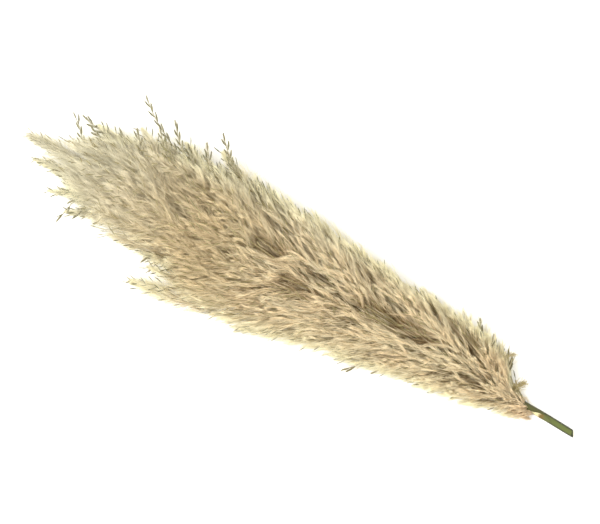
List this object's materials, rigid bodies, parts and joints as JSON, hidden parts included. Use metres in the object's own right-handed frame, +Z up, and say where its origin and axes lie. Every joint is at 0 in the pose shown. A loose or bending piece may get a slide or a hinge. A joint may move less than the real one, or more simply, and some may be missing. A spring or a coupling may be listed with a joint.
{
  "type": "pampas grass plume",
  "caption": "Dried pampas grass plume on a short cut stem, lying down: feathery sprays ring a hidden stalk and swell to a loose tip.",
  "frame": {"origin": "on the table, under the middle of the whole plume's length and width", "axes": "+Z up; +X runs along the plume from its tip to the cut end of the stem; +Y is level, across it"},
  "size_m": [0.6237, 0.186, 0.1054],
  "materials": {
    "stem": "smooth ribbed green stem, straw-coloured inside the plume",
    "bract": "dry papery scale, golden brown at its foot",
    "plume": "soft silky hairs and slim dry spikelets, cream to straw"
  },
  "bodies": {
    "root": {"stem": "stem", "bract": "bract", "spray_01": "plume", "spray_02": "plume", "spray_03": "plume", "spray_04": "plume", "spray_05": "plume", "spray_06": "plume", "spray_07": "plume", "spray_08": "plume", "spray_09": "plume", "spray_10": "plume", "spray_11": "plume", "spray_12": "plume", "spray_13": "plume", "spray_14": "plume", "spray_15": "plume", "spray_16": "plume", "spray_17": "plume", "spray_18": "plume", "spray_19": "plume", "spray_20": "plume", "spray_21": "plume", "spray_22": "plume", "spray_23": "plume", "spray_24": "plume", "spray_25": "plume", "spray_26": "plume", "spray_27": "plume", "spray_28": "plume", "spray_29": "plume", "spray_30": "plume", "spray_31": "plume", "spray_32": "plume", "spray_33": "plume", "spray_34": "plume", "spray_35": "plume", "spray_36": "plume", "spray_37": "plume", "spray_38": "plume", "spray_39": "plume", "spray_40": "plume", "spray_41": "plume", "spray_42": "plume", "spray_43": "plume", "spray_44": "plume", "spray_45": "plume", "spray_46": "plume", "spray_47": "plume", "spray_48": "plume", "spray_49": "plume", "spray_50": "plume", "spray_51": "plume", "spray_52": "plume", "spray_53": "plume", "spray_54": "plume", "spray_55": "plume", "spray_56": "plume", "spray_57": "plume", "spray_58": "plume"}
  },
  "joints": []
}
